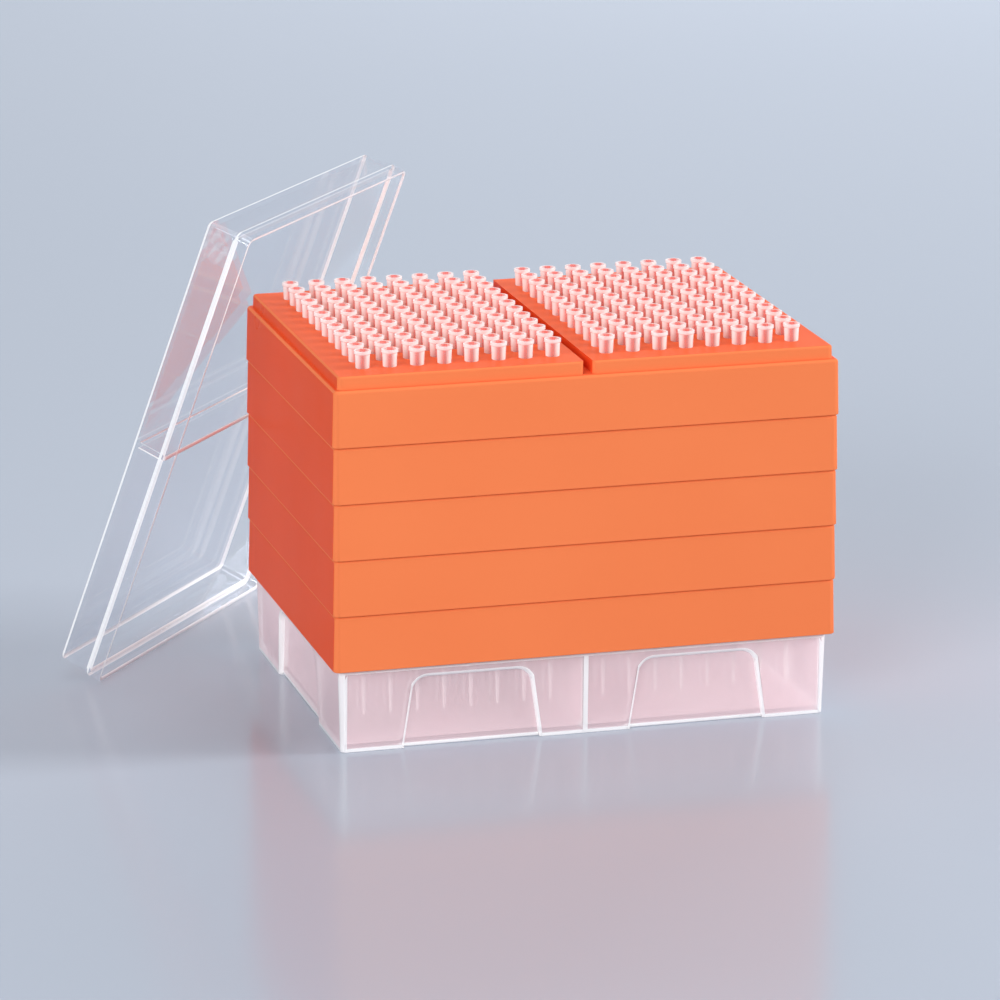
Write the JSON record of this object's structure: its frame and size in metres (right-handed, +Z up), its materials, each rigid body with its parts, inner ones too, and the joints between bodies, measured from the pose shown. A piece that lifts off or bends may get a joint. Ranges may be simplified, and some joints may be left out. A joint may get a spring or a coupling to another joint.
{
  "type": "pipette tip refill box",
  "caption": "Stack of nested orange pipette tip trays on a translucent tub, every hole filled with a tapered tip, with its clear lid off and leaning on the stack.",
  "frame": {"origin": "centre of the tub's underside, on the surface that the box stands on", "axes": "+X to the right along the stack's long side, +Y to the back, +Z up; the lid leans on the rear left corner"},
  "size_m": [0.2381, 0.2005, 0.1624],
  "materials": {
    "tub": "natural translucent polypropylene, satin",
    "tray": "glossy orange moulded polypropylene",
    "tip": "clear to milky moulded polypropylene",
    "lid": "crystal clear moulded plastic, glossy"
  },
  "bodies": {
    "root": {"base": "tub", "lid": "lid", "tray_1": "tray", "tray_2": "tray", "tray_3": "tray", "tray_4": "tray", "tray_5": "tray", "tips_1_left": "tip", "tips_1_right": "tip", "tips_2_left": "tip", "tips_2_right": "tip", "tips_3_left": "tip", "tips_3_right": "tip", "tips_4_left": "tip", "tips_4_right": "tip", "top_left_row_1": "tip", "top_left_row_2": "tip", "top_left_row_3": "tip", "top_left_row_4": "tip", "top_left_row_5": "tip", "top_left_row_6": "tip", "top_left_row_7": "tip", "top_left_row_8": "tip", "top_left_row_9": "tip", "top_left_row_10": "tip", "top_left_row_11": "tip", "top_left_row_12": "tip", "top_right_row_1": "tip", "top_right_row_2": "tip", "top_right_row_3": "tip", "top_right_row_4": "tip", "top_right_row_5": "tip", "top_right_row_6": "tip", "top_right_row_7": "tip", "top_right_row_8": "tip", "top_right_row_9": "tip", "top_right_row_10": "tip", "top_right_row_11": "tip", "top_right_row_12": "tip"}
  },
  "joints": []
}
